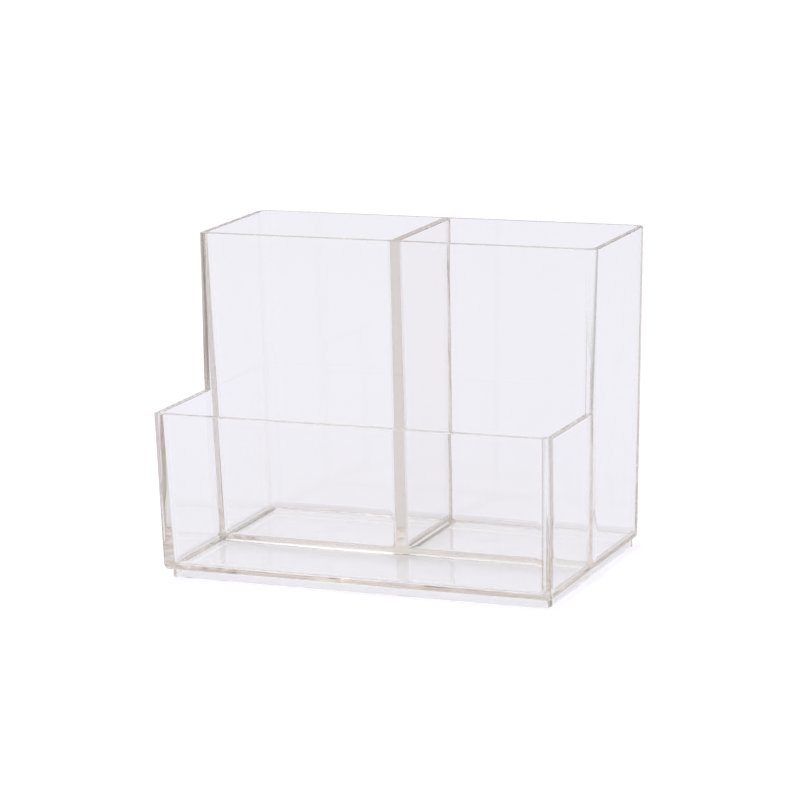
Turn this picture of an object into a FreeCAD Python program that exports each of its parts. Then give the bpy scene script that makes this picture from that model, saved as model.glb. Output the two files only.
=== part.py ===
import FreeCAD
import Part
import math
import os

V = FreeCAD.Vector

# Clear three-place organiser: two tall bays side by side at the back and a low open tray
# across the front, standing on a shallow stacking plinth.
# Millimetres, +Z up. The front faces -Y. Z = 0 is the surface that the plinth stands on,
# and X = Y = 0 is the middle of the whole plan, from the tray's front rim to the back rim.

# --- Driving dimensions -----------------------------------------------------------------
WIDTH = 165.0               # outside, along X, at the tall rim
DEPTH = 107.0               # outside, along Y, from the tray's front rim to the back rim
HEIGHT = 127.0              # tall rim above the table
TRAY_RIM = 65.0             # rim of the front tray above the table
WALL_RIM = 2.4              # thickness of the outer walls at the tall rim
CROSS_RIM = 3.2             # thickness of the cross wall at its rim
DIVIDER_RIM = 3.7           # thickness of the divider at its rim
FLOOR_THICKNESS = 1.6

OUTER_DRAFT = 1.38          # degrees that the outside leans out, going up
INNER_DRAFT = 1.68          # degrees that the inside of the outer walls leans out, going up
CROSS_FRONT = -5.6          # front face of the cross wall, carried up to the tall rim
CROSS_DRAFT = 0.35          # lean of the cross wall's front face
CROSS_BACK_DRAFT = 0.15     # lean of its back face
DIVIDER_DRAFT = 0.14        # lean of each face of the divider
EDGE_FRONT = -5.5           # front of the whole tall rim, where the side walls' free edges begin
EDGE_LEAN = 1.9             # lean of those edges, down to the tray

PLINTH_HEIGHT = 3.0
PLINTH_INSET = 1.7          # from the foot of the walls to the outside of the plinth
PLINTH_WALL = 2.0
PLINTH_CORNER = 4.0

# Upright corners: one radius, or a pair where the radius grows from the foot to the top
CORNER_BACK = (4.5,)        # outside, at the back
CORNER_TRAY = (0.8, 2.4)    # outside, at the front of the tray
CORNER_EDGE = (0.4, 3.0)    # outside, up the free front edges above the tray
CORNER_INSIDE = (3.2,)      # inside, against the outer walls
CORNER_JUNCTION = (1.8,)    # coves where one wall meets another in a T
FOOT_OUTSIDE = 2.0          # outside edge along the bottom of the walls
FOOT_INSIDE = 2.4           # cove between the floor and every wall
RIM_SOFTENING = 0.3         # the polished edges of both rims

# --- Named clearances ---------------------------------------------------------------------
BOND_GAP = 0.02             # film of solvent cement in each bonded joint
JOINT_MARGIN = 0.4          # flat left between a rounded cove and the joint beyond it
OVERRUN = 5.0               # how far a cutter, or a block to be joined, runs past its end

# --- Derived places -------------------------------------------------------------------------
FLOOR_BOTTOM = PLINTH_HEIGHT
FLOOR_TOP = FLOOR_BOTTOM + FLOOR_THICKNESS
PAN_TOP = FLOOR_TOP + FOOT_INSIDE + JOINT_MARGIN     # the walls are bonded on above the coves


def lean(angle, z):
    """How far a face that leans by angle has moved at height z, measured from the tall rim."""
    return math.tan(math.radians(angle)) * (HEIGHT - z)


def half_width(z):
    return WIDTH / 2 - lean(OUTER_DRAFT, z)


def back_out(z):
    return DEPTH / 2 - lean(OUTER_DRAFT, z)


def front_out(z):
    """Outside of the front wall, which reaches its full depth at the tray's rim."""
    return -DEPTH / 2 - lean(OUTER_DRAFT, TRAY_RIM) + lean(OUTER_DRAFT, z)


def wall(z):
    """Thickness of the outer walls."""
    return WALL_RIM + lean(INNER_DRAFT, z) - lean(OUTER_DRAFT, z)


def inner_half_width(z):
    return half_width(z) - wall(z)


def back_in(z):
    return back_out(z) - wall(z)


def front_in(z):
    return front_out(z) + wall(z)


def cross_front(z):
    return CROSS_FRONT - lean(CROSS_DRAFT, z)


def cross_back(z):
    return CROSS_FRONT + CROSS_RIM + lean(CROSS_BACK_DRAFT, z)


def divider_half(z):
    return DIVIDER_RIM / 2 + lean(DIVIDER_DRAFT, z)


def edge_front(z):
    """Front edge of the side walls above the tray."""
    return EDGE_FRONT - lean(EDGE_LEAN, z)


def whole(z):
    """Plan of the outside at height z, as x0, x1, y0, y1."""
    return -half_width(z), half_width(z), front_out(z), back_out(z)


def tall(z):
    """Plan of the outside above the tray."""
    return -half_width(z), half_width(z), edge_front(z), back_out(z)


def tray(z):
    return -inner_half_width(z), inner_half_width(z), front_in(z), cross_front(z)


def right_bay(z):
    return divider_half(z), inner_half_width(z), cross_back(z), back_in(z)


def left_bay(z):
    return -inner_half_width(z), -divider_half(z), cross_back(z), back_in(z)


# The side walls carry the rounded corners and meet the flat panels at SIDE_JOINT. The divider
# ends just short of the coves on the cross wall and on the back wall.
SIDE_JOINT = inner_half_width(PAN_TOP) - max(CORNER_INSIDE) - JOINT_MARGIN
DIVIDER_FRONT = cross_back(PAN_TOP) + max(CORNER_JUNCTION) + JOINT_MARGIN
DIVIDER_BACK = back_in(PAN_TOP) - max(CORNER_JUNCTION) - JOINT_MARGIN


# --- Building blocks --------------------------------------------------------------------------
def leaning_block(sides, z_low, z_high):
    """Block with flat leaning sides; sides(z) gives x0, x1, y0, y1 at a height."""
    low, high = [], []
    for z, corners in ((z_low, low), (z_high, high)):
        x0, x1, y0, y1 = sides(z)
        corners.extend([V(x0, y0, z), V(x1, y0, z), V(x1, y1, z), V(x0, y1, z)])
    outlines = [low[::-1], high]
    for i in range(4):
        j = (i + 1) % 4
        outlines.append([low[i], low[j], high[j], high[i]])
    faces = [Part.Face(Part.makePolygon(outline + outline[:1])) for outline in outlines]
    return Part.Solid(Part.Shell(faces))


def level_edges(solid, z):
    """The edges that lie flat at height z."""
    return [e for e in solid.Edges
            if abs(e.BoundBox.ZMin - z) < 1e-4 and abs(e.BoundBox.ZMax - z) < 1e-4]


def upright_edge(solid, x, y, z):
    """The edge that comes down from one corner of the block's top."""
    top = V(x, y, z)
    return [e for e in solid.Edges
            if e.BoundBox.ZLength > 1 and min((v.Point - top).Length for v in e.Vertexes) < 1e-4]


def rounded_upright(solid, x, y, z, radii):
    """Round the edge that comes down from one corner of the block's top."""
    edge = upright_edge(solid, x, y, z)
    if edge[0].Vertexes[0].Z > edge[0].Vertexes[-1].Z:
        radii = radii[::-1]
    return solid.makeFillet(*radii, edge)


def rounded_block(sides, z_low, z_high, foot, corners):
    """Leaning block with a rounded foot and four rounded corners.

    corners gives the radii at (x0, y0), (x1, y0), (x1, y1) and (x0, y1)."""
    solid = leaning_block(sides, z_low, z_high)
    x0, x1, y0, y1 = sides(z_high)
    for (x, y), radii in zip(((x0, y0), (x1, y0), (x1, y1), (x0, y1)), corners):
        solid = rounded_upright(solid, x, y, z_high, radii)
    return solid.makeFillet(foot, level_edges(solid, z_low))


def region(x0, x1, y0, y1, z0, z1):
    """Box between two corners, from which one bonded piece is cut."""
    return Part.makeBox(x1 - x0, y1 - y0, z1 - z0, V(x0, y0, z0))


# --- The moulded form, before it is divided at its bonded joints ----------------------------------
def tray_block():
    """Outside of the part up to the tray's rim."""
    block = rounded_block(whole, FLOOR_BOTTOM, TRAY_RIM, FOOT_OUTSIDE,
                          (CORNER_TRAY, CORNER_TRAY, CORNER_BACK, CORNER_BACK))
    return block.makeFillet(RIM_SOFTENING, level_edges(block, TRAY_RIM))


def tall_block():
    """Outside of the part above the tray, with front corners that get rounder towards the rim."""
    block = leaning_block(tall, TRAY_RIM - OVERRUN, HEIGHT)
    x0, x1, y0, y1 = tall(HEIGHT)
    for x in (x0, x1):
        block = rounded_upright(block, x, y1, HEIGHT, CORNER_BACK)
        block = rounded_upright(block, x, y0, HEIGHT, CORNER_EDGE)
    return block.makeFillet(RIM_SOFTENING, level_edges(block, HEIGHT))


def rim_edges(solid, sides, z):
    """The edges at height z around a space with the plan sides(z)."""
    x0, x1, y0, y1 = sides(z)
    plan = FreeCAD.BoundBox(x0, y0, z, x1, y1, z)
    plan.enlarge(1e-3)
    return [e for e in level_edges(solid, z) if plan.isInside(e.BoundBox)]


def moulded_form():
    form = tray_block().fuse(tall_block()).removeSplitter()
    top = HEIGHT + OVERRUN
    spaces = (
        (tray, TRAY_RIM, (CORNER_INSIDE, CORNER_INSIDE, CORNER_JUNCTION, CORNER_JUNCTION)),
        (right_bay, HEIGHT, (CORNER_JUNCTION, CORNER_INSIDE, CORNER_INSIDE, CORNER_JUNCTION)),
        (left_bay, HEIGHT, (CORNER_INSIDE, CORNER_JUNCTION, CORNER_JUNCTION, CORNER_INSIDE)),
    )
    for sides, rim, corners in spaces:
        form = form.cut(rounded_block(sides, FLOOR_TOP, top, FOOT_INSIDE, corners))
    rims = []
    for sides, rim, corners in spaces:
        rims.extend(rim_edges(form, sides, rim))
    return form.makeFillet(RIM_SOFTENING, rims)


def stacking_plinth():
    """Open ring under the floor that drops inside the rim of another organiser."""
    x0, x1, y0, y1 = whole(FLOOR_BOTTOM)
    rings = []
    for inset, radius in ((PLINTH_INSET, PLINTH_CORNER),
                          (PLINTH_INSET + PLINTH_WALL, PLINTH_CORNER - PLINTH_WALL)):
        block = region(x0 + inset, x1 - inset, y0 + inset, y1 - inset,
                       0, FLOOR_BOTTOM - BOND_GAP)
        uprights = [e for e in block.Edges if e.BoundBox.ZLength > 1]
        rings.append(block.makeFillet(radius, uprights))
    return rings[0].cut(rings[1])


def build():
    form = moulded_form()
    gap = BOND_GAP / 2
    low = PAN_TOP + gap
    high = HEIGHT + OVERRUN
    inside = SIDE_JOINT - gap
    outside = SIDE_JOINT + gap
    far = WIDTH
    regions = {
        "floor_pan": region(-far, far, -far, far, 0, PAN_TOP - gap),
        "left_side_wall": region(-far, -outside, -far, far, low, high),
        "right_side_wall": region(outside, far, -far, far, low, high),
        "front_wall": region(-inside, inside, -far, -DEPTH / 4, low, high),
        "cross_wall": region(-inside, inside, -DEPTH / 4, DIVIDER_FRONT - gap, low, high),
        "centre_divider": region(-DEPTH / 4, DEPTH / 4, DIVIDER_FRONT + gap,
                                 DIVIDER_BACK - gap, low, high),
        "back_wall": region(-inside, inside, DIVIDER_BACK + gap, far, low, high),
    }
    pieces = {name: form.common(box) for name, box in regions.items()}
    pieces["stacking_plinth"] = stacking_plinth()
    return pieces


os.makedirs("parts", exist_ok=True)
for name, shape in build().items():
    solid = shape.Solids[0]
    print(name, len(shape.Solids), "solid", solid.isValid(), "volume", round(solid.Volume, 1))
    solid.exportStep(os.path.join("parts", name + ".step"))
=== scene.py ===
import math

import bpy
from mathutils import Matrix, Vector


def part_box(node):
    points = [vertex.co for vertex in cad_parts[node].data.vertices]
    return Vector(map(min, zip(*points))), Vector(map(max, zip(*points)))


bl_info = {
    "name": "Clear Brush Organiser",
    "version": (1, 0, 0),
    "blender": (4, 5, 0),
    "location": "View3D > Sidebar > Organiser",
    "description": "Finishes the pieces of a clear brush organiser and sets up its studio",
    "category": "Object",
}

# The frame comes first, so that defaults and seam places can be read from it.
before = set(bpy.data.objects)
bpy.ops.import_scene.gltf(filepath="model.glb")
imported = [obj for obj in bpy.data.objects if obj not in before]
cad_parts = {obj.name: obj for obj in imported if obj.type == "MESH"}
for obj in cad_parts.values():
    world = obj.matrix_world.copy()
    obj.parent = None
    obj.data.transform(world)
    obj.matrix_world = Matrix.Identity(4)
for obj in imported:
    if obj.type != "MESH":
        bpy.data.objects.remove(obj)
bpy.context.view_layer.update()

SIDE_WALLS = ("left_side_wall", "right_side_wall")
UPRIGHT_PANELS = ("front_wall", "cross_wall", "back_wall")
DIVIDERS = ("centre_divider",)
BASE_PIECES = ("floor_pan", "stacking_plinth")

WHITE = (1.0, 1.0, 1.0, 1.0)
SENSOR_WIDTH = 36.0     # millimetres, the width that the lens is given for
FLAT = 0.9              # a flat face's normal has at least this much of one axis
FORWARDS = -0.5         # a face that looks to the front has a normal with less Y than this
COVE_TILT = 0.5         # middle of the range of Z in a cove's normals
COVE_TILT_RANGE = 0.46  # half of that range, which leaves out floors and leaning walls

# The colour sockets of a Mix node, which share their names with its other sockets
MIX_PLAIN, MIX_TINT, MIX_RESULT = 6, 7, 2


class OrganiserPlastic(bpy.types.PropertyGroup):
    """Colours and optical values of the clear plastic."""

    sheet_colour: bpy.props.FloatVectorProperty(
        name="Sheet Colour", description="Colour of the polished surface",
        subtype="COLOR", size=4, min=0.0, max=1.0, default=WHITE)
    refractive_index: bpy.props.FloatProperty(
        name="Refractive Index", description="How strongly the plastic bends light",
        min=1.0, max=2.0, default=1.49)
    edge_tint: bpy.props.FloatVectorProperty(
        name="Edge Tint", description="Colour that light takes on along a sheet, seen at its edges",
        subtype="COLOR", size=4, min=0.0, max=1.0, default=(0.78, 0.73, 0.67, 1.0))
    edge_density: bpy.props.FloatProperty(
        name="Edge Tint per Metre", description="Density of the tint inside the panels and the base",
        min=0.0, default=12.0)
    side_density: bpy.props.FloatProperty(
        name="Side Tint per Metre", description="Density of the tint inside the side walls",
        min=0.0, default=8.0)
    divider_density: bpy.props.FloatProperty(
        name="Divider Tint per Metre", description="Density of the tint inside the thicker divider",
        min=0.0, default=22.0)
    ripple_spacing: bpy.props.FloatProperty(
        name="Ripple Spacing", description="Distance between the soft ripples of the moulded faces",
        unit="LENGTH", min=0.001, default=0.025)
    ripple_height: bpy.props.FloatProperty(
        name="Ripple Height", description="Height of those ripples",
        unit="LENGTH", min=0.0, default=0.00015)
    # Painted shade: the coves round the floor are painted darker
    cove_shade_colour: bpy.props.FloatVectorProperty(
        name="Cove Colour", description="Tint of the rounded coves round the floor",
        subtype="COLOR", size=4, min=0.0, max=1.0, default=(0.84, 0.82, 0.81, 1.0))
    wall_lean: bpy.props.FloatProperty(
        name="Wall Lean", description="Lean of the outside of the walls",
        subtype="ANGLE", unit="ROTATION", default=math.radians(1.38))
    # Painted shade: a dark line painted into the side walls' colour where the rounded corner ends, and
    # also on the left free edge
    painted_line_shade_colour: bpy.props.FloatVectorProperty(
        name="Corner Line Colour", description="Line where a rounded free edge runs out on a side wall",
        subtype="COLOR", size=4, min=0.0, max=1.0, default=(0.36, 0.35, 0.30, 1.0))
    corner_shade_line_place: bpy.props.FloatProperty(
        name="Corner Line Place", description="Where that line meets the tall rim, along Y",
        unit="LENGTH", default=-0.0033)
    corner_shade_line_lean: bpy.props.FloatProperty(
        name="Corner Line Lean", description="Lean of that line",
        subtype="ANGLE", unit="ROTATION", default=math.radians(4.1))
    corner_shade_line_width: bpy.props.FloatProperty(
        name="Corner Line Width", description="Half the width over which it fades out",
        unit="LENGTH", min=0.0, default=0.0012)
    # Painted shade: where the dark line painted on the left side wall's free edge lies
    edge_shade_line_inset: bpy.props.FloatProperty(
        name="Edge Line Inset", description="From a side wall's outer face to the line on its free edge",
        unit="LENGTH", min=0.0, default=0.00215)
    edge_shade_line_width: bpy.props.FloatProperty(
        name="Edge Line Width", description="Half the width over which that line fades out",
        unit="LENGTH", min=0.0, default=0.00125)
    # Painted shade: a darker line painted down the tray's rounded front corners
    tray_shade_line_colour: bpy.props.FloatVectorProperty(
        name="Tray Line Colour", description="Line down the rounded front corners of the tray",
        subtype="COLOR", size=4, min=0.0, max=1.0, default=(0.73, 0.69, 0.66, 1.0))
    tray_shade_line_start: bpy.props.FloatProperty(
        name="Tray Line Start", description="How far that line reaches round on to the front face",
        unit="LENGTH", min=0.0, default=0.0007)
    tray_shade_line_end: bpy.props.FloatProperty(
        name="Tray Line End", description="How far it reaches back along the side",
        unit="LENGTH", min=0.0, default=0.0021)
    mark_spacing: bpy.props.FloatProperty(
        name="Mark Spacing", description="Distance between the places where a handling mark may be",
        unit="LENGTH", min=0.001, default=0.022)
    mark_share: bpy.props.FloatProperty(
        name="Mark Share", description="Share of those places that have a mark",
        min=0.0, max=1.0, default=0.14)
    mark_size: bpy.props.FloatProperty(
        name="Mark Size", description="Size of a mark in parts of the spacing",
        min=0.0, max=1.0, default=0.022)
    mark_stretch: bpy.props.FloatProperty(
        name="Mark Stretch", description="Height of a mark in parts of its width",
        min=1.0, default=2.5)
    mark_roughness: bpy.props.FloatProperty(
        name="Mark Roughness", description="Roughness of the plastic in a mark",
        min=0.0, max=1.0, default=0.5)
    plinth_wall: bpy.props.FloatProperty(
        name="Plinth Wall", description="Thickness of the plinth's ring, bonded under the floor pan",
        unit="LENGTH", min=0.0, default=0.002)
    seam_width: bpy.props.FloatProperty(
        name="Seam Width", description="How near a bonded joint a face counts as part of it",
        unit="LENGTH", min=0.0, default=0.00003)


class OrganiserStudio(bpy.types.PropertyGroup):
    """Floor, lamps and camera."""

    floor_size: bpy.props.FloatProperty(
        name="Floor Size", description="Side of the square floor",
        unit="LENGTH", min=1.0, default=12.0)
    floor_drop: bpy.props.FloatProperty(
        name="Floor Drop", description="Hairline between the plinth and the floor",
        unit="LENGTH", min=0.0, default=0.00002)
    paper_colour: bpy.props.FloatVectorProperty(
        name="Paper Colour", description="Colour of the paper sweep",
        subtype="COLOR", size=4, min=0.0, max=1.0, default=(0.853, 0.848, 0.896, 1.0))
    paper_glow: bpy.props.FloatProperty(
        name="Paper Glow", description="Light added where the sweep is seen directly",
        min=0.0, default=0.2)
    wall_colour: bpy.props.FloatVectorProperty(
        name="Wall Colour", description="Light of the room at the level of the object",
        subtype="COLOR", size=4, min=0.0, max=1.0, default=(0.88, 0.872, 0.913, 1.0))
    ceiling_strength: bpy.props.FloatProperty(
        name="Ceiling Strength", description="Level of the white ceiling that lights the room",
        min=0.0, default=1.0)
    ceiling_height: bpy.props.FloatProperty(
        name="Ceiling Height", description="Sine of the elevation where the ceiling is full",
        min=0.0, max=1.0, default=0.6)
    key_power: bpy.props.FloatProperty(
        name="Key Lamp Power", description="Power of the soft lamp overhead",
        unit="POWER", min=0.0, default=1.0)
    key_size: bpy.props.FloatProperty(
        name="Key Lamp Size", description="Side of the soft lamp",
        unit="LENGTH", min=0.1, default=0.35)
    key_place: bpy.props.FloatVectorProperty(
        name="Key Lamp Place", description="Where the soft lamp hangs",
        subtype="TRANSLATION", unit="LENGTH", size=3, default=(-0.6, 0.3, 1.1))
    key_aim: bpy.props.FloatVectorProperty(
        name="Key Lamp Aim", description="Point that the soft lamp faces",
        subtype="TRANSLATION", unit="LENGTH", size=3, default=(0.0, 0.0, 0.05))
    camera_azimuth: bpy.props.FloatProperty(
        name="Camera Azimuth", description="Turn of the camera round the object",
        subtype="ANGLE", unit="ROTATION", default=math.radians(22.991))
    camera_elevation: bpy.props.FloatProperty(
        name="Camera Elevation", description="Height of the camera above the horizon",
        subtype="ANGLE", unit="ROTATION", default=math.radians(12.267))
    camera_roll: bpy.props.FloatProperty(
        name="Camera Roll", description="Tilt of the camera about its own line of sight",
        subtype="ANGLE", unit="ROTATION", default=math.radians(-1.547))
    camera_distance: bpy.props.FloatProperty(
        name="Camera Distance", description="From the camera to the point it aims at",
        unit="LENGTH", min=0.1, default=1.34)
    camera_aim: bpy.props.FloatVectorProperty(
        name="Camera Aim", description="Point that the camera aims at",
        subtype="TRANSLATION", unit="LENGTH", size=3, default=(-0.003325, -0.000765, 0.061468))
    lens: bpy.props.FloatProperty(
        name="Lens", description="Focal length on a 36 mm sensor",
        unit="CAMERA", min=10.0, default=155.64)
    shift: bpy.props.FloatVectorProperty(
        name="Shift", description="How far the picture is shifted off the lens axis",
        size=2, default=(0.0087, 0.0075))
    clear_bounces: bpy.props.IntProperty(
        name="Clear Bounces", description="How often light may pass or turn at a clear face",
        min=1, default=128)
    gloss_bounces: bpy.props.IntProperty(
        name="Gloss Bounces", description="How often light may be mirrored",
        min=1, default=64)


# --- Node helpers -----------------------------------------------------------------------------
def new_material(name):
    """An empty node material and its tree."""
    material = bpy.data.materials.new(name)
    material.use_nodes = True
    material.node_tree.nodes.clear()
    return material, material.node_tree


def connect(tree, value, socket):
    """Links an output to a socket, or sets a plain number on it."""
    if isinstance(value, bpy.types.NodeSocket):
        tree.links.new(value, socket)
    else:
        socket.default_value = value


def math_node(tree, operation, *values):
    """The result of one Math node."""
    node = tree.nodes.new("ShaderNodeMath")
    node.operation = operation
    for socket, value in zip(node.inputs, values):
        connect(tree, value, socket)
    return node.outputs[0]


def surface_point(tree):
    """Place and normal of the point that is shaded, each split into X, Y and Z."""
    coordinates = tree.nodes.new("ShaderNodeTexCoord")
    place = tree.nodes.new("ShaderNodeSeparateXYZ")
    normal = tree.nodes.new("ShaderNodeSeparateXYZ")
    tree.links.new(coordinates.outputs["Object"], place.inputs[0])
    tree.links.new(coordinates.outputs["Normal"], normal.inputs[0])
    return place.outputs, normal.outputs


def fade_out(tree, away, width):
    """1 where a distance is 0, falling softly to 0 at the width."""
    fade = tree.nodes.new("ShaderNodeMapRange")
    fade.interpolation_type = "SMOOTHSTEP"
    fade.inputs["From Max"].default_value = width
    fade.inputs["To Min"].default_value = 1.0
    fade.inputs["To Max"].default_value = 0.0
    tree.links.new(away, fade.inputs["Value"])
    return fade.outputs[0]


def tinted(tree, factor, plain, tint):
    """A colour that goes from plain to the tint as the factor goes from 0 to 1."""
    mix = tree.nodes.new("ShaderNodeMix")
    mix.data_type = "RGBA"
    tree.links.new(factor, mix.inputs["Factor"])
    connect(tree, plain, mix.inputs[MIX_PLAIN])
    connect(tree, tint, mix.inputs[MIX_TINT])
    return mix.outputs[MIX_RESULT]


def at_plane(tree, place, normal, where, width):
    """1 on a flat face that lies at one height, on either side of the middle, else 0."""
    near = math_node(tree, "COMPARE", math_node(tree, "ABSOLUTE", place), abs(where), width)
    facing = math_node(tree, "GREATER_THAN", math_node(tree, "ABSOLUTE", normal), FLAT)
    return math_node(tree, "MULTIPLY", near, facing)


# --- The clear plastic ------------------------------------------------------------------------
def plinth_seam(tree, place, normal, settings):
    """1 on the flat faces where the plinth's ring is bonded under the floor pan, else 0."""
    low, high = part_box("stacking_plinth")
    middle, half = (low + high) / 2, (high - low) / 2
    past = []
    for axis in range(2):
        shifted = math_node(tree, "SUBTRACT", place[axis], middle[axis])
        past.append(math_node(tree, "SUBTRACT", math_node(tree, "ABSOLUTE", shifted), half[axis]))
    edge = math_node(tree, "MAXIMUM", *past)
    ring = math_node(tree, "COMPARE", edge, -settings.plinth_wall / 2, settings.plinth_wall / 2)
    level = at_plane(tree, place["Z"], normal["Z"], high.z, settings.seam_width)
    return math_node(tree, "MULTIPLY", ring, level)


def bonded_seams(tree, settings):
    """1 on the faces that are bonded to a neighbour, where no surface shows, else 0."""
    place, normal = surface_point(tree)
    pan_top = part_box("floor_pan")[1].z
    side_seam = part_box("front_wall")[1].x
    divider_front, divider_back = (corner.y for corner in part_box("centre_divider"))
    seams = []
    for axis, where in (("X", side_seam), ("Y", divider_front), ("Y", divider_back), ("Z", pan_top)):
        seams.append(at_plane(tree, place[axis], normal[axis], where, settings.seam_width))
    seam = plinth_seam(tree, place, normal, settings)
    for other in seams:
        seam = math_node(tree, "MAXIMUM", seam, other)
    return seam


def ripples(tree, settings):
    """Soft ripples of a moulded face, as a surface normal."""
    coordinates = tree.nodes.new("ShaderNodeTexCoord")
    noise = tree.nodes.new("ShaderNodeTexNoise")
    noise.inputs["Scale"].default_value = 1.0 / settings.ripple_spacing
    noise.inputs["Detail"].default_value = 1.0
    tree.links.new(coordinates.outputs["Object"], noise.inputs["Vector"])
    bump = tree.nodes.new("ShaderNodeBump")
    bump.inputs["Distance"].default_value = settings.ripple_height
    tree.links.new(noise.outputs[0], bump.inputs["Height"])
    return bump.outputs[0]


def handling_marks(tree, settings):
    """1 in a few small scuffs, drawn out upwards, else 0."""
    coordinates = tree.nodes.new("ShaderNodeTexCoord")
    stretch = tree.nodes.new("ShaderNodeMapping")
    stretch.inputs["Scale"].default_value = (1.0, 1.0, 1.0 / settings.mark_stretch)
    cells = tree.nodes.new("ShaderNodeTexVoronoi")
    cells.inputs["Scale"].default_value = 1.0 / settings.mark_spacing
    tree.links.new(coordinates.outputs["Object"], stretch.inputs["Vector"])
    tree.links.new(stretch.outputs[0], cells.inputs["Vector"])
    chosen = tree.nodes.new("ShaderNodeSeparateXYZ")
    tree.links.new(cells.outputs["Color"], chosen.inputs[0])
    here = math_node(tree, "LESS_THAN", chosen.outputs["X"], settings.mark_share)
    near = math_node(tree, "LESS_THAN", cells.outputs["Distance"], settings.mark_size)
    return math_node(tree, "MULTIPLY", here, near)


def painted_corner_shade_line(tree, settings):
    """1 along the line where the rounded free edge runs out on a side wall's outer face, else 0: the
    mask of a dark line of painted shade.
    """
    place, normal = surface_point(tree)
    side = math_node(tree, "MULTIPLY", place["X"], normal["X"])
    outside = math_node(tree, "GREATER_THAN", side, 0.0)
    above_tray = math_node(tree, "GREATER_THAN", place["Z"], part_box("front_wall")[1].z)
    down = math_node(tree, "SUBTRACT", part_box("cross_wall")[1].z, place["Z"])
    drift = math_node(tree, "MULTIPLY", down, math.tan(settings.corner_shade_line_lean))
    line = math_node(tree, "SUBTRACT", settings.corner_shade_line_place, drift)
    away = math_node(tree, "ABSOLUTE", math_node(tree, "SUBTRACT", place["Y"], line))
    fade = fade_out(tree, away, settings.corner_shade_line_width)
    return math_node(tree, "MULTIPLY", fade, math_node(tree, "MULTIPLY", outside, above_tray))


def painted_free_edge_shade(tree, settings):
    """1 along the middle of the left side wall's free front edge, fading to 0 on both sides: the mask of
    a dark line of painted shade, on the left wall only.
    """
    place, normal = surface_point(tree)
    low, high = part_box("left_side_wall")
    down = math_node(tree, "SUBTRACT", high.z, place["Z"])
    outside = math_node(tree, "MULTIPLY_ADD", down, math.tan(settings.wall_lean), low.x)
    inset = math_node(tree, "SUBTRACT", place["X"], outside)
    away = math_node(tree, "ABSOLUTE", math_node(tree, "SUBTRACT", inset, settings.edge_shade_line_inset))
    fade = fade_out(tree, away, settings.edge_shade_line_width)
    forwards = math_node(tree, "LESS_THAN", normal["Y"], FORWARDS)
    in_front = math_node(tree, "LESS_THAN", place["Y"], 0.0)
    above_tray = math_node(tree, "GREATER_THAN", place["Z"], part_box("front_wall")[1].z)
    free_edge = math_node(tree, "MULTIPLY", math_node(tree, "MULTIPLY", forwards, in_front), above_tray)
    return math_node(tree, "MULTIPLY", fade, free_edge)


def painted_tray_corner_shade(tree, settings):
    """1 down the outside of the tray's rounded front corners, else 0: the mask of a line of painted
    shade.
    """
    place, normal = surface_point(tree)
    low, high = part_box("right_side_wall")
    tray_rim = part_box("front_wall")[1].z
    corner = high.x - math.tan(settings.wall_lean) * (high.z - tray_rim) + low.y
    across = math_node(tree, "ADD", math_node(tree, "ABSOLUTE", place["X"]), place["Y"])
    along = math_node(tree, "SUBTRACT", across, corner)
    middle = (settings.tray_shade_line_end - settings.tray_shade_line_start) / 2
    half = (settings.tray_shade_line_end + settings.tray_shade_line_start) / 2
    near = math_node(tree, "COMPARE", along, middle, half)
    sideways = math_node(tree, "MULTIPLY", place["X"], normal["X"])
    forwards = math_node(tree, "MULTIPLY", normal["Y"], high.x)
    outside = math_node(tree, "GREATER_THAN", math_node(tree, "SUBTRACT", sideways, forwards), 0.0)
    below = math_node(tree, "LESS_THAN", place["Z"], tray_rim)
    return math_node(tree, "MULTIPLY", near, math_node(tree, "MULTIPLY", outside, below))


def painted_cove_shade(tree):
    """1 on the coves that round the floor up into the walls, else 0: where the base is painted darker as
    shade.
    """
    _, normal = surface_point(tree)
    return math_node(tree, "COMPARE", normal["Z"], COVE_TILT, COVE_TILT_RANGE)


def clear_plastic(name, settings, density):
    """Polished clear plastic, colourless in the sheet and tinted where light runs along it."""
    material, tree = new_material(name)
    surface = tree.nodes.new("ShaderNodeBsdfPrincipled")
    surface.inputs["Base Color"].default_value = settings.sheet_colour
    roughness = math_node(tree, "MULTIPLY", handling_marks(tree, settings), settings.mark_roughness)
    tree.links.new(roughness, surface.inputs["Roughness"])
    tree.links.new(ripples(tree, settings), surface.inputs["Normal"])
    surface.inputs["IOR"].default_value = settings.refractive_index
    surface.inputs["Transmission Weight"].default_value = 1.0
    seam = bonded_seams(tree, settings)
    tree.links.new(math_node(tree, "SUBTRACT", 1.0, seam), surface.inputs["Alpha"])
    inside = tree.nodes.new("ShaderNodeVolumeAbsorption")
    inside.inputs["Color"].default_value = settings.edge_tint
    inside.inputs["Density"].default_value = density
    output = tree.nodes.new("ShaderNodeOutputMaterial")
    tree.links.new(surface.outputs[0], output.inputs["Surface"])
    tree.links.new(inside.outputs[0], output.inputs["Volume"])
    return material, tree, surface


def finish_nodes(names, material):
    """Gives each CAD node the plastic; its mesh stays as it is."""
    for name in names:
        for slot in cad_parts[name].material_slots:
            slot.material = material


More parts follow.
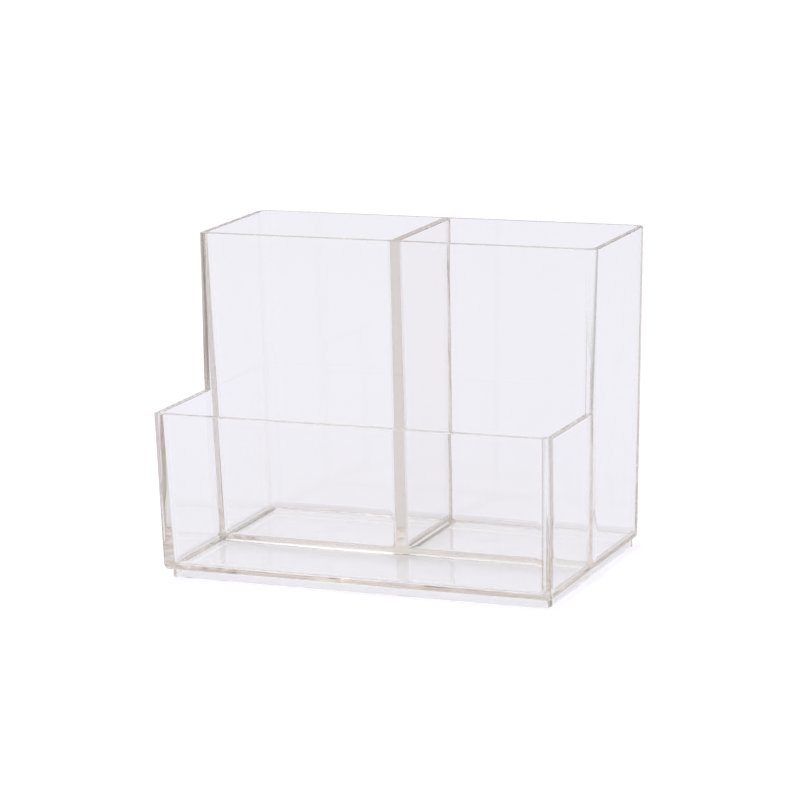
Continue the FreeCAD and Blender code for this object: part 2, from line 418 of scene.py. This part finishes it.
class ORGANISER_OT_side_walls(bpy.types.Operator):
    """Finish the two stepped side walls"""

    bl_idname = "organiser.side_walls"
    bl_label = "Side Walls"

    def execute(self, context):
        settings = context.scene.organiser_plastic
        material, tree, surface = clear_plastic("side_wall_plastic", settings, settings.side_density)
        # Painted shade: dark lines at the corners' ends and on the left free edge, and a paler line down
        # the tray corners, mixed into the base colour
        painted_shade_lines = math_node(tree, "MAXIMUM", painted_corner_shade_line(tree, settings), painted_free_edge_shade(tree, settings))
        colour = tinted(tree, painted_shade_lines, settings.sheet_colour, settings.painted_line_shade_colour)
        colour = tinted(tree, painted_tray_corner_shade(tree, settings), colour, settings.tray_shade_line_colour)
        tree.links.new(colour, surface.inputs["Base Color"])
        finish_nodes(SIDE_WALLS, material)
        return {"FINISHED"}


class ORGANISER_OT_upright_panels(bpy.types.Operator):
    """Finish the tray's front wall, the cross wall, the divider and the back wall"""

    bl_idname = "organiser.upright_panels"
    bl_label = "Upright Panels"

    def execute(self, context):
        settings = context.scene.organiser_plastic
        panel, _, _ = clear_plastic("panel_plastic", settings, settings.edge_density)
        divider, _, _ = clear_plastic("divider_plastic", settings, settings.divider_density)
        finish_nodes(UPRIGHT_PANELS, panel)
        finish_nodes(DIVIDERS, divider)
        return {"FINISHED"}


class ORGANISER_OT_base(bpy.types.Operator):
    """Finish the floor pan and the stacking plinth"""

    bl_idname = "organiser.base"
    bl_label = "Base"

    def execute(self, context):
        settings = context.scene.organiser_plastic
        material, tree, surface = clear_plastic("base_plastic", settings, settings.edge_density)
        # Painted shade: the floor coves are darkened in the base colour
        colour = tinted(tree, painted_cove_shade(tree), settings.sheet_colour, settings.cove_shade_colour)
        tree.links.new(colour, surface.inputs["Base Color"])
        finish_nodes(BASE_PIECES, material)
        return {"FINISHED"}


# --- The studio -------------------------------------------------------------------------------
def paper(settings):
    """Matt paper that burns out to white where it is seen directly, but keeps its shadows."""
    material, tree = new_material("sweep_paper")
    sheet = tree.nodes.new("ShaderNodeBsdfDiffuse")
    sheet.inputs["Color"].default_value = settings.paper_colour
    glow = tree.nodes.new("ShaderNodeEmission")
    path = tree.nodes.new("ShaderNodeLightPath")
    strength = math_node(tree, "MULTIPLY", path.outputs["Is Camera Ray"], settings.paper_glow)
    tree.links.new(strength, glow.inputs["Strength"])
    both = tree.nodes.new("ShaderNodeAddShader")
    tree.links.new(sheet.outputs[0], both.inputs[0])
    tree.links.new(glow.outputs[0], both.inputs[1])
    output = tree.nodes.new("ShaderNodeOutputMaterial")
    tree.links.new(both.outputs[0], output.inputs["Surface"])
    return material


def room(settings):
    """White where it is seen directly, else paper-coloured walls under a brighter ceiling."""
    world = bpy.data.worlds.new("studio_room")
    world.use_nodes = True
    tree = world.node_tree
    tree.nodes.clear()
    coordinates = tree.nodes.new("ShaderNodeTexCoord")
    direction = tree.nodes.new("ShaderNodeSeparateXYZ")
    tree.links.new(coordinates.outputs["Generated"], direction.inputs[0])
    rise = tree.nodes.new("ShaderNodeMapRange")
    rise.interpolation_type = "SMOOTHSTEP"
    rise.inputs["From Max"].default_value = settings.ceiling_height
    tree.links.new(direction.outputs["Z"], rise.inputs["Value"])
    walls = tree.nodes.new("ShaderNodeBackground")
    walls.inputs["Color"].default_value = settings.wall_colour
    ceiling = tree.nodes.new("ShaderNodeBackground")
    ceiling.inputs["Strength"].default_value = settings.ceiling_strength
    ceiling.inputs["Color"].default_value = WHITE
    light = tree.nodes.new("ShaderNodeMixShader")
    tree.links.new(rise.outputs[0], light.inputs[0])
    tree.links.new(walls.outputs[0], light.inputs[1])
    tree.links.new(ceiling.outputs[0], light.inputs[2])
    seen = tree.nodes.new("ShaderNodeBackground")
    seen.inputs["Color"].default_value = WHITE
    path = tree.nodes.new("ShaderNodeLightPath")
    whole = tree.nodes.new("ShaderNodeMixShader")
    tree.links.new(path.outputs["Is Camera Ray"], whole.inputs[0])
    tree.links.new(light.outputs[0], whole.inputs[1])
    tree.links.new(seen.outputs[0], whole.inputs[2])
    output = tree.nodes.new("ShaderNodeOutputWorld")
    tree.links.new(whole.outputs[0], output.inputs["Surface"])
    return world


def soft_lamp(name, place, aim, size, power):
    """A square area lamp that faces a point."""
    data = bpy.data.lights.new(name, "AREA")
    data.shape = "SQUARE"
    data.size = size
    data.energy = power
    lamp = bpy.data.objects.new(name, data)
    bpy.context.scene.collection.objects.link(lamp)
    lamp.location = place
    lamp.rotation_euler = (Vector(aim) - Vector(place)).to_track_quat("-Z", "Y").to_euler()


def studio_camera(settings):
    """The camera, turned round its aim point by azimuth, elevation and roll."""
    azimuth, elevation, roll = settings.camera_azimuth, settings.camera_elevation, settings.camera_roll
    back = Vector((math.sin(azimuth) * math.cos(elevation),
                   -math.cos(azimuth) * math.cos(elevation), math.sin(elevation)))
    level_right = Vector((math.cos(azimuth), math.sin(azimuth), 0.0))
    level_up = back.cross(level_right)
    right = math.cos(roll) * level_right + math.sin(roll) * level_up
    up = math.cos(roll) * level_up - math.sin(roll) * level_right
    data = bpy.data.cameras.new("studio_camera")
    data.sensor_width = SENSOR_WIDTH
    data.lens = settings.lens
    data.shift_x, data.shift_y = settings.shift
    camera = bpy.data.objects.new("studio_camera", data)
    bpy.context.scene.collection.objects.link(camera)
    turn = Matrix((right, up, back)).transposed().to_4x4()
    place = Vector(settings.camera_aim) + back * settings.camera_distance
    camera.matrix_world = Matrix.Translation(place) @ turn
    return camera


class ORGANISER_OT_stage(bpy.types.Operator):
    """Lay the paper floor and set the lamps, the room and the camera"""

    bl_idname = "organiser.stage"
    bl_label = "Stage"

    def execute(self, context):
        scene = context.scene
        settings = scene.organiser_studio
        bpy.ops.mesh.primitive_plane_add(size=settings.floor_size,
                                         location=(0.0, 0.0, -settings.floor_drop))
        floor = context.object
        floor.name = "paper_floor"
        floor.data.materials.append(paper(settings))
        scene.world = room(settings)
        soft_lamp("key_lamp", settings.key_place, settings.key_aim, settings.key_size,
                  settings.key_power)
        scene.camera = studio_camera(settings)
        scene.view_settings.view_transform = "Standard"
        scene.cycles.max_bounces = settings.clear_bounces
        scene.cycles.transmission_bounces = settings.clear_bounces
        scene.cycles.transparent_max_bounces = settings.clear_bounces
        scene.cycles.glossy_bounces = settings.gloss_bounces
        scene.cycles.blur_glossy = 0.0
        return {"FINISHED"}


class ORGANISER_PT_tools(bpy.types.Panel):
    """Lists the steps in the order in which they are run"""

    bl_idname = "ORGANISER_PT_tools"
    bl_label = "Clear Brush Organiser"
    bl_space_type = "VIEW_3D"
    bl_region_type = "UI"
    bl_category = "Organiser"

    def draw(self, context):
        scene = context.scene
        for step in STEPS:
            self.layout.operator(step.bl_idname)
        for group in (scene.organiser_plastic, scene.organiser_studio):
            box = self.layout.box()
            for name in group.__annotations__:
                box.prop(group, name)


STEPS = (ORGANISER_OT_side_walls, ORGANISER_OT_upright_panels, ORGANISER_OT_base, ORGANISER_OT_stage)
CLASSES = (OrganiserPlastic, OrganiserStudio) + STEPS + (ORGANISER_PT_tools,)


def register():
    for cls in CLASSES:
        bpy.utils.register_class(cls)
    bpy.types.Scene.organiser_plastic = bpy.props.PointerProperty(type=OrganiserPlastic)
    bpy.types.Scene.organiser_studio = bpy.props.PointerProperty(type=OrganiserStudio)


def unregister():
    del bpy.types.Scene.organiser_studio
    del bpy.types.Scene.organiser_plastic
    for cls in reversed(CLASSES):
        bpy.utils.unregister_class(cls)


def main():
    register()
    bpy.ops.organiser.side_walls()
    bpy.ops.organiser.upright_panels()
    bpy.ops.organiser.base()
    bpy.ops.organiser.stage()


if __name__ == "__main__":
    main()
